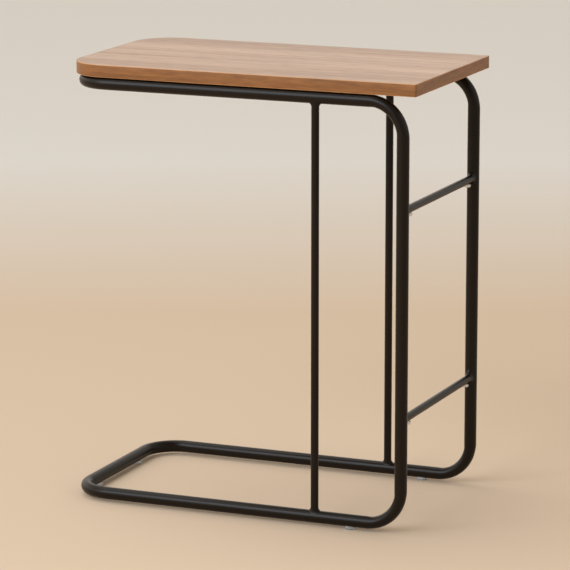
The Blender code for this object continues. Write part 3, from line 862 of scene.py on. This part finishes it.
def fillet_mesh(name, radius, lip_height, toe, lean, phase):
    """A weld fillet round a rod along Z where it meets a tube along X, with the ripple of the bead.

    The lip height is a function of the way across the tube and of the sway of the bead. The fillet reaches
    further along +X than along -X by the lean.
    """
    bm = bmesh.new()
    loops = []
    for k in range(WELD_SIDES):
        angle = 2 * math.pi * k / WELD_SIDES
        along = math.cos(angle)
        across = math.sin(angle)
        ripple = 1 + WELD_RIPPLE * math.sin(WELD_RIPPLES * angle + phase)
        sway = 1 + WELD_RIPPLE * math.sin(WELD_SWAYS * angle + 2 * phase)
        spread = (along ** 2 + WELD_SIDE_SHARE * across ** 2) * (1 + lean * along)
        widest = (TUBE_RADIUS - WELD_SINK) / max(abs(across), WELD_LEAST_ACROSS)
        reach = min(radius + toe * ripple * sway * spread, widest)
        lip = (radius + WELD_LIP, lip_height(across, sway))
        foot = (reach, tube_height(reach * across) - WELD_SINK)
        waist = (
            lip[0] + WELD_WAIST[0] * (reach - lip[0]),
            foot[1] + WELD_WAIST[1] * (lip[1] - foot[1]),
        )
        inner = radius - WELD_SINK
        profile = [(inner, lip[1])]
        profile += [curve_point(lip, waist, foot, step / WELD_STEPS) for step in range(WELD_STEPS + 1)]
        profile += [(inner, tube_height(inner * across) - WELD_SINK)]
        loops.append(add_ring(bm, [Vector((r * along, r * across, z)) for r, z in profile]))
    bridge_rings(bm, loops + loops[:1])
    return finish_mesh(name, bm)


def curve_point(start, pull, end, share):
    """A point on a curve from start to end that is drawn towards a third point."""
    weights = ((1 - share) ** 2, 2 * share * (1 - share), share ** 2)
    return tuple(sum(w * p[axis] for w, p in zip(weights, (start, pull, end))) for axis in (0, 1))


def build_strut(side_name, side, finishes):
    coat = finishes["powder_coat"]
    node = f"{side_name}_strut"
    radius = size(node).x / 2
    strut_x = middle(node).x
    base = Vector((strut_x, side * tube_y, base_z))
    top = Vector((strut_x, side * tube_y, top_z))
    sunk = (TUBE_RADIUS - STRUT_WELD_LEG / 2) * Z_AXIS
    rod = rod_mesh(f"{node}_rod", base + sunk, top - sunk, radius)
    add_piece(f"{node}_rod", rod, coat, "powder_coat", node)

    def lip_height(across, sway):
        return tube_height(radius * across) + STRUT_WELD_LEG * sway

    for level, place, up in (("base", base, 1), ("top", top, -1)):
        name = f"{node}_{level}_fillet"
        phase = STRUT_WELD_PHASE * side + up
        mesh = fillet_mesh(name, radius, lip_height, STRUT_WELD_TOE, 0, phase)
        piece = add_piece(name, mesh, coat, "powder_coat", f"{node}_{level}_weld")
        place_piece(piece, place, X_AXIS, up * Z_AXIS)


# Crossbars, their welds and screws

def screw_mesh(name, diameter, length, head_diameter, head_height):
    """A pan-head screw that points up from the underside of its head, with a cross recess."""
    radius = head_diameter / 2
    profile = [(radius * PAN_CENTRE_SHARE, -head_height)]
    crown = radius * PAN_CROWN_SHARE
    for step in range(PAN_STEPS + 1):
        angle = math.pi / 2 * step / PAN_STEPS
        profile.append((
            crown + (radius - crown) * math.sin(angle),
            -head_height * (PAN_SHOULDER_SHARE + PAN_DOME_SHARE * math.cos(angle)),
        ))
    profile += [
        (radius, -head_height * PAN_WALL_SHARE),
        (radius * PAN_LIP_SHARE, 0),
        (diameter / 2, 0),
        (diameter / 2, length - diameter * SCREW_TIP_SHARE),
        (diameter * SCREW_TIP_SHARE, length),
    ]
    span = head_diameter * RECESS_SPAN_SHARE
    width = head_diameter * RECESS_WIDTH_SHARE
    depth = head_height * RECESS_DEPTH_SHARE
    slots = [slot_mesh(span, width, head_height, depth), slot_mesh(width, span, head_height, depth)]
    return cut_mesh(turned_mesh(name, profile, SCREW_SIDES), slots)


def add_screw(name, node, diameter, head_height, zinc):
    """A screw in the place of its node, which is as long and has as wide a head."""
    low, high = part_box(node)
    mesh = screw_mesh(name, diameter, high.z - low.z - head_height, high.x - low.x, head_height)
    piece = add_piece(name, mesh, zinc, "zinc_steel", node)
    piece.matrix_world = Matrix.Translation((middle(node).x, middle(node).y, low.z + head_height))


def slot_mesh(span_x, span_y, head_height, depth):
    """One tapered arm of a cross recess."""
    bm = bmesh.new()
    rings = []
    for z, share in ((-2 * head_height, RECESS_MOUTH_SHARE), (depth - head_height, RECESS_FLOOR_SHARE)):
        half_x = span_x / 2 * share
        half_y = span_y / 2 * share
        corners = ((-half_x, -half_y), (half_x, -half_y), (half_x, half_y), (-half_x, half_y))
        rings.append(add_ring(bm, [Vector((x, y, z)) for x, y in corners]))
    bridge_rings(bm, rings)
    for ring in rings:
        bm.faces.new(ring)
    return finish_mesh("recess", bm)


def build_crossbar(level, finishes):
    coat = finishes["powder_coat"]
    node = f"{level}_crossbar"
    low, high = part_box(node)
    radius = (high.z - low.z) / 2
    centre = (low + high) / 2
    half = Y_AXIS * (high.y - centre.y - CROSSBAR_END_EASE)
    stations = [(place, Y_AXIS, Vector(), 0.0) for place in (centre - half, centre + half)]
    name = f"{level}_cross_tube"
    mesh = tube_mesh(name, stations, radius, radius - CROSSBAR_WALL, CROSSBAR_END_EASE)
    holes = []
    for side_name, side in SIDES:
        screw = middle(f"{level}_{side_name}_crossbar_screw")
        top = Vector((screw.x, screw.y, centre.z))
        holes.append(rod_mesh("hole", top - 2 * radius * Z_AXIS, top, CROSSBAR_HOLE_RADIUS))
        build_crossbar_end(f"{level}_{side_name}", side, high.y, finishes)
    add_piece(name, cut_mesh(mesh, holes), coat, "powder_coat", node)


def build_crossbar_end(name, side, bar_end, finishes):
    """The weld of a crossbar's spigot, which closes on the bar's end, and the screw under the bar."""
    weld_node = f"{name}_spigot_weld"
    place = Vector((upright_x, side * tube_y, middle(weld_node).z))
    toe = SPIGOT_WELD_TOES[name]
    phase = SPIGOT_WELD_PHASE * place.z + side

    def lip_height(across, sway):
        return tube_y - bar_end - SPIGOT_WELD_GAP

    mesh = fillet_mesh(f"{name}_fillet", SPIGOT_WELD_RADIUS, lip_height, toe, SPIGOT_WELD_LEAN, phase)
    piece = add_piece(f"{name}_fillet", mesh, finishes["powder_coat"], "powder_coat", weld_node)
    place_piece(piece, place, Z_AXIS, -side * Y_AXIS)

    screw_node = f"{name}_crossbar_screw"
    zinc = finishes["zinc_steel"]
    add_screw(f"{name}_bar_screw", screw_node, CROSSBAR_SCREW_DIAMETER, CROSSBAR_SCREW_HEAD, zinc)


# Tabs under the board

def tab_outline(half_length, tip, inset):
    """Plan of a tab about its middle: X along the tube, Y inwards from the tube's axis."""
    radius = TAB_CORNER_RADIUS - inset
    corner_x = half_length - TAB_CORNER_RADIUS
    corner_y = tip - TAB_CORNER_RADIUS
    outline = [(inset - half_length, 0), (half_length - inset, 0)]
    for sign in (1, -1):
        for step in range(EASE_STEPS + 1):
            angle = math.pi / 2 * step / EASE_STEPS
            angle = angle if sign > 0 else math.pi / 2 - angle
            x = sign * (corner_x + radius * math.cos(angle))
            outline.append((x, corner_y + radius * math.sin(angle)))
    return outline


def tab_mesh(name, half_length, tip, hole_y, thickness):
    """A flat tab with rounded corners, eased edges and a screw hole. Its top is at Z = 0."""
    bm = bmesh.new()
    layers = ((TAB_EASE, -thickness), (0, TAB_EASE - thickness), (0, -TAB_EASE), (TAB_EASE, 0))
    outer = []
    hole = []
    for inset, z in layers:
        outline = tab_outline(half_length, tip, inset)
        outer.append(add_ring(bm, [Vector((x, y, z)) for x, y in outline]))
        centre = Vector((0, hole_y, z))
        points = circle(centre, X_AXIS, Y_AXIS, TAB_HOLE_RADIUS + inset, SCREW_SIDES)
        hole.append(add_ring(bm, points))
    bridge_rings(bm, outer)
    bridge_rings(bm, hole)
    for layer in (0, -1):
        edges = []
        for ring in (outer[layer], hole[layer]):
            for k, vertex in enumerate(ring):
                edges.append(bm.edges.get((vertex, ring[(k + 1) % len(ring)])))
        bmesh.ops.triangle_fill(bm, edges=edges, use_beauty=True)
    return finish_mesh(name, bm)


def bead_mesh(name, half_length, thickness):
    """A rippled weld bead under a tab, in the corner between the tab and the tube along X."""
    bm = bmesh.new()
    top = TUBE_RADIUS - thickness
    root = tube_height(top)
    steps = TAB_WELD_STEPS * TAB_WELD_RIPPLES
    loops = []
    for step in range(steps + 1):
        along = step / steps
        swell = math.sin(math.pi * along) ** TAB_WELD_TAPER
        ripple = TAB_WELD_RIPPLE * abs(math.sin(math.pi * TAB_WELD_RIPPLES * along))
        leg = (TAB_WELD_LEG + ripple) * max(swell, TAB_WELD_END_SHARE)
        low = top - leg
        points = [(root - TUBE_WALL, top), (root - TUBE_WALL, low), (tube_height(low), low)]
        hollow = leg * TAB_WELD_HOLLOW
        for k in range(1, TAB_WELD_CURVE_STEPS):
            angle = math.pi / 2 * k / TAB_WELD_CURVE_STEPS
            points.append((root + leg - hollow * math.cos(angle), low + hollow * math.sin(angle)))
        points.append((root + leg, top))
        x = half_length * (2 * along - 1)
        loops.append(add_ring(bm, [Vector((x, y, z)) for y, z in points]))
    bridge_rings(bm, loops)
    bm.faces.new(loops[0])
    bm.faces.new(loops[-1])
    return finish_mesh(name, bm)


def build_tab(name, side, finishes):
    coat = finishes["powder_coat"]
    tab_low, tab_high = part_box(f"{name}_tab")
    screw_node = f"{name}_tabletop_screw"
    hole_y = tube_y - abs(middle(screw_node).y)
    x = (tab_low.x + tab_high.x) / 2
    half_length = (tab_high.x - tab_low.x) / 2
    tip = tube_y - min(abs(tab_low.y), abs(tab_high.y))
    thickness = tab_high.z - tab_low.z
    along = -side * X_AXIS

    plate = tab_mesh(f"{name}_bracket", half_length, tip, hole_y, thickness)
    piece = add_piece(f"{name}_bracket", plate, coat, "powder_coat", f"{name}_tab")
    place_piece(piece, Vector((x, side * tube_y, tab_high.z)), along, Z_AXIS)

    bead = bead_mesh(f"{name}_bracket_bead", size(f"{name}_tab_weld").x / 2, thickness)
    piece = add_piece(f"{name}_bracket_bead", bead, coat, "powder_coat", f"{name}_tab_weld")
    place_piece(piece, Vector((x, side * tube_y, top_z)), along, Z_AXIS)

    zinc = finishes["zinc_steel"]
    add_screw(f"{name}_board_screw", screw_node, TABLETOP_SCREW_DIAMETER, TABLETOP_SCREW_HEAD, zinc)


# Feet

def foot_mesh(name, radius, top, along_y):
    """A round pad whose top is a saddle on the tube above it, with its stem going up into the tube."""
    bm = bmesh.new()

    def saddle(point):
        across = point.x if along_y else point.y
        return min(base_z - tube_height(across) - FOOT_SADDLE_GAP, FOOT_RIM)

    profile = [(radius * FOOT_SOLE_SHARE, 0.0)]
    for step in range(FOOT_EDGE_STEPS + 1):
        angle = math.pi / 2 * step / FOOT_EDGE_STEPS
        profile.append((radius - FOOT_EDGE * (1 - math.sin(angle)), FOOT_EDGE * (1 - math.cos(angle))))
    rings = [flat_ring(bm, r, z, TUBE_SIDES) for r, z in profile]
    for r in [radius * share for share in FOOT_SADDLE_SHARES] + [FOOT_STEM_RADIUS]:
        points = circle(Vector(), X_AXIS, Y_AXIS, r, TUBE_SIDES)
        rings.append(add_ring(bm, [point + saddle(point) * Z_AXIS for point in points]))
    for r, z in ((FOOT_STEM_RADIUS, top - FOOT_EDGE), (FOOT_STEM_RADIUS - FOOT_EDGE, top)):
        rings.append(flat_ring(bm, r, z, TUBE_SIDES))
    bridge_rings(bm, rings)
    bm.faces.new(rings[0])
    bm.faces.new(rings[-1])
    return finish_mesh(name, bm)


def build_foot(node, along_y, finishes):
    low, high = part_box(node)
    name = node.replace("foot", "glide")
    mesh = foot_mesh(name, (high.x - low.x) / 2, high.z, along_y)
    piece = add_piece(name, mesh, finishes["clear_plastic"], "clear_plastic", node)
    piece.matrix_world = Matrix.Translation((middle(node).x, middle(node).y, low.z))


# Pieces that are hidden inside others keep their solids

def finish_hidden_pieces(finishes):
    hidden = {"tabletop_core": "particle_board"}
    for level in ("top", "base"):
        hidden[f"{level}_joint_sleeve"] = "zinc_steel"
    for side_name, _ in SIDES:
        for level in LEVELS:
            hidden[f"{level}_{side_name}_spigot"] = "powder_coat"
        for place in TAB_PLACES:
            hidden[f"{side_name}_{place}_insert"] = "zinc_steel"
    for node, finish in hidden.items():
        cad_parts[node].material_slots[0].material = finishes[finish]


# Floor, light and camera

def towards(tree, place, aim):
    """How far a place, or a direction, lies along an aim."""
    node = tree.nodes.new("ShaderNodeVectorMath")
    node.operation = "DOT_PRODUCT"
    tree.links.new(place, node.inputs[0])
    node.inputs[1].default_value = aim.normalized()
    return node.outputs["Value"]


def build_floor():
    """A plain pale sweep: warm under the table and lighter far behind it."""
    bm = bmesh.new()
    bmesh.ops.create_circle(bm, cap_ends=True, segments=FLOOR_SIDES, radius=FLOOR_RADIUS)
    floor = bpy.data.objects.new("floor", finish_mesh("floor", bm))
    bpy.context.scene.collection.objects.link(floor)
    material, tree, shader = new_material("pale_floor")
    far = rescale(tree, towards(tree, object_coordinates(tree), BEHIND), *SWEEP)
    colour = mix_colours(tree, far, FLOOR_COLOUR, FAR_FLOOR_COLOUR)
    tree.links.new(colour, shader.inputs["Base Color"])
    shader.inputs["Roughness"].default_value = FLOOR_ROUGHNESS
    shader.inputs["Specular IOR Level"].default_value = FLOOR_SPECULAR
    floor.data.materials.append(material)


def aim_lamp(name, lamp, place):
    holder = bpy.data.objects.new(name, lamp)
    holder.location = place
    holder.rotation_euler = (LIGHT_TARGET - place).to_track_quat("-Z", "Y").to_euler()
    holder.visible_camera = False
    bpy.context.scene.collection.objects.link(holder)


def build_light():
    """A wide soft key over the table and a softbox in front of it."""
    key = bpy.data.lights.new("key", "SUN")
    key.energy = KEY_STRENGTH
    key.angle = math.radians(KEY_SPREAD)
    key.color = KEY_COLOUR
    aim_lamp("key", key, LIGHT_TARGET + KEY_DIRECTION)
    softbox = bpy.data.lights.new("softbox", "AREA")
    softbox.shape = "RECTANGLE"
    softbox.size, softbox.size_y = SOFTBOX_SIZE
    softbox.energy = SOFTBOX_WATTS
    softbox.color = SOFTBOX_COLOUR
    aim_lamp("softbox", softbox, SOFTBOX_PLACE)


def build_world():
    """A soft surround: pale along the horizon, dim in front of the table, bright behind and beside it."""
    world = bpy.data.worlds.new("studio")
    bpy.context.scene.world = world
    world.use_nodes = True
    tree = world.node_tree
    direction = tree.nodes.new("ShaderNodeTexCoord").outputs["Generated"]
    ambient = tree.nodes["Background"]
    ambient.inputs["Color"].default_value = AMBIENT_COLOUR
    strength = rescale(tree, towards(tree, direction, Y_AXIS), *AMBIENT_REACH, *AMBIENT)
    for aim, reach, glow in GLOWS:
        lit = rescale(tree, towards(tree, direction, aim), *reach, 0.0, glow)
        strength = maths(tree, "ADD", strength, lit)
    height = towards(tree, direction, Z_AXIS)
    high = maths(tree, "MULTIPLY", strength, rescale(tree, height, *HORIZON))
    low = rescale(tree, height, *HORIZON, HORIZON_STRENGTH, 0.0)
    tree.links.new(maths(tree, "ADD", high, low), ambient.inputs["Strength"])


def build_camera():
    camera = bpy.data.objects.new("camera", bpy.data.cameras.new("camera"))
    azimuth = math.radians(CAMERA_AZIMUTH)
    elevation = math.radians(CAMERA_ELEVATION)
    back = Vector((
        math.sin(azimuth) * math.cos(elevation),
        -math.cos(azimuth) * math.cos(elevation),
        math.sin(elevation),
    ))
    camera.location = CAMERA_TARGET + back * CAMERA_DISTANCE
    camera.rotation_euler = (-back).to_track_quat("-Z", "Y").to_euler()
    camera.data.sensor_width = CAMERA_SENSOR
    camera.data.lens = CAMERA_LENS
    camera.data.clip_end = CAMERA_CLIP
    bpy.context.scene.collection.objects.link(camera)
    bpy.context.scene.camera = camera


# Table

def build_table():
    finishes = make_finishes()
    build_board(finishes)
    for side_name, side in SIDES:
        build_frame_tube(side_name, side, finishes)
        build_strut(side_name, side, finishes)
        for place in TAB_PLACES:
            build_tab(f"{side_name}_{place}", side, finishes)
        for place, along_y in FOOT_PLACES:
            build_foot(f"{side_name}_{place}_foot", along_y, finishes)
    for level in LEVELS:
        build_crossbar(level, finishes)
    finish_hidden_pieces(finishes)


build_table()
build_floor()
build_light()
build_world()
build_camera()
bpy.context.scene.view_settings.view_transform = "Standard"
